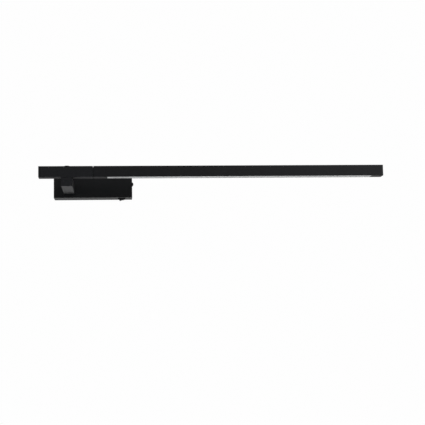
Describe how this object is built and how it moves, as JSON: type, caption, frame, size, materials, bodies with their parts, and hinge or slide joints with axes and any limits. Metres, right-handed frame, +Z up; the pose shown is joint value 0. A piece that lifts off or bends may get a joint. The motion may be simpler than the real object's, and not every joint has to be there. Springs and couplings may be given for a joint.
{
  "type": "swivel wall light bar",
  "caption": "Wall light bar on a short square arm: flat driver housing with a rocker switch, swivelling pivot block and a square bar that rolls, with an opal diffuser below.",
  "frame": {"origin": "centre of the two wall slots, on the wall plane, which is also the centre of the housing's back", "axes": "+X along the light bar to its free end, +Y into the wall, +Z up"},
  "size_m": [0.6555, 0.136, 0.0615],
  "materials": {
    "housing_paint": "satin black powder coat",
    "bar_paint": "satin black powder coat",
    "cap_plastic": "fine matt black moulding",
    "switch_plastic": "semi-gloss black moulding",
    "screw_black": "black zinc",
    "opal": "opal, satin",
    "zinc_steel": "zinc plated",
    "brass": "machined",
    "bearing_plastic": "natural acetal",
    "terminal_plastic": "moulded",
    "driver_plastic": "moulded, fine texture",
    "board_green": "solder mask",
    "board_white": "white solder mask",
    "led_phosphor": "phosphor",
    "transformer_tape": "tape",
    "capacitor_sleeve": "sleeve",
    "lead_black": "smooth",
    "lead_white": "smooth",
    "grommet_rubber": "matt"
  },
  "bodies": {
    "wall_bracket": {"wall_plate": "zinc_steel", "cable_grommet": "grommet_rubber", "earth_tag": "brass", "earth_screw": "brass", "housing_shell": "housing_paint", "side_screw": "screw_black", "terminal_block": "terminal_plastic", "terminal_tubes": "brass", "terminal_screws": "zinc_steel", "driver_case": "driver_plastic", "driver_lid": "driver_plastic", "driver_board": "board_green", "driver_transformer": "transformer_tape", "driver_capacitors": "capacitor_sleeve", "driver_screws": "zinc_steel", "switch_body": "switch_plastic", "switch_terminals": "brass", "lead_supply_switch": "lead_black", "lead_supply_driver": "lead_white", "lead_switch_driver": "lead_black", "earth_lead": "lead_white", "stem_tube": "housing_paint", "stem_end_cap": "housing_paint", "stem_rear_plug": "zinc_steel", "stem_screws": "zinc_steel", "pivot_seat": "zinc_steel", "pivot_bolt": "zinc_steel", "pivot_washer": "bearing_plastic", "swivel_stop_pin": "zinc_steel", "lead_stem": "lead_black"},
    "pivot_block": {"block_tube": "bar_paint", "block_end_cap": "cap_plastic", "pivot_bearing": "bearing_plastic", "pivot_spring_washer": "zinc_steel", "pivot_cap": "cap_plastic", "spindle_bearing": "bearing_plastic", "roll_stop_pin": "zinc_steel", "lead_block": "lead_black"},
    "light_bar": {"bar_profile": "bar_paint", "inner_end_plug": "cap_plastic", "outer_end_plug": "cap_plastic", "plug_screws": "screw_black", "spindle": "zinc_steel", "spindle_nut": "zinc_steel", "spindle_spring_washer": "zinc_steel", "gap_disc": "cap_plastic", "led_board": "board_white", "leds": "led_phosphor", "board_connector": "terminal_plastic", "diffuser": "opal", "lead_bar": "lead_black"},
    "rocker": {"switch_rocker": "switch_plastic"}
  },
  "joints": [
    {"name": "block_swivel", "type": "hinge", "parent": "wall_bracket", "child": "pivot_block", "pos_m": [-0.0462, -0.1257, 0.0063], "axis": [0, 0, -1], "range_deg": [0, 180]},
    {"name": "bar_roll", "type": "hinge", "parent": "pivot_block", "child": "light_bar", "pos_m": [0.0033, -0.1257, 0.0063], "axis": [1, 0, 0], "range_deg": [-150, 150]},
    {"name": "switch_rock", "type": "hinge", "parent": "wall_bracket", "child": "rocker", "pos_m": [0.056, -0.01675, -0.0286], "axis": [0, 1, 0], "range_deg": [0, 28]}
  ]
}
